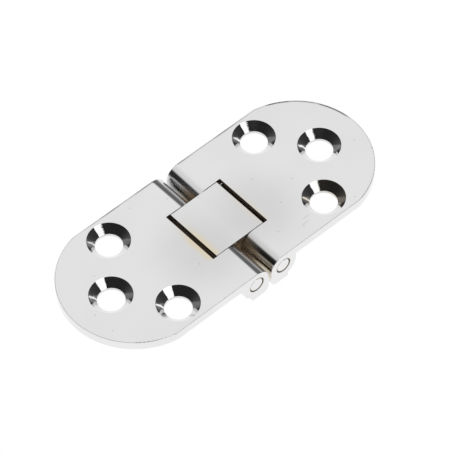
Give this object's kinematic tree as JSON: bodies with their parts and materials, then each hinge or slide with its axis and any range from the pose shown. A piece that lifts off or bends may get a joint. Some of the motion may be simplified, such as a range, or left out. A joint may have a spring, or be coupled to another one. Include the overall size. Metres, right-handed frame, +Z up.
{
  "type": "drop leaf table hinge",
  "caption": "Flush drop leaf table hinge: round-ended countersunk leaves, each pinned to a square link between them so that they fold up face to face.",
  "frame": {"origin": "under the middle of the open hinge, at the feet of its knuckles", "axes": "+X along the hinge from the left leaf to the right leaf, +Y across it, +Z up out of the flush top"},
  "size_m": [0.08, 0.034, 0.008],
  "materials": {
    "leaf_plating": "mirror-polished bright nickel plating",
    "link_plating": "polished bright nickel plating, slightly warmer",
    "pin_steel": "turned and plated pin ends"
  },
  "bodies": {
    "left_leaf": {"left_leaf": "leaf_plating", "left_pin": "pin_steel"},
    "link": {"link": "link_plating"},
    "right_leaf": {"right_leaf": "leaf_plating", "right_pin": "pin_steel"}
  },
  "joints": [
    {"name": "left_pivot", "type": "hinge", "parent": "left_leaf", "child": "link", "pos_m": [-0.0038, 0, 0.0046], "axis": [0, -1, 0], "range_deg": [0, 90]},
    {"name": "right_pivot", "type": "hinge", "parent": "link", "child": "right_leaf", "pos_m": [0.0038, 0, 0.0046], "axis": [0, -1, 0], "range_deg": [0, 90]}
  ]
}
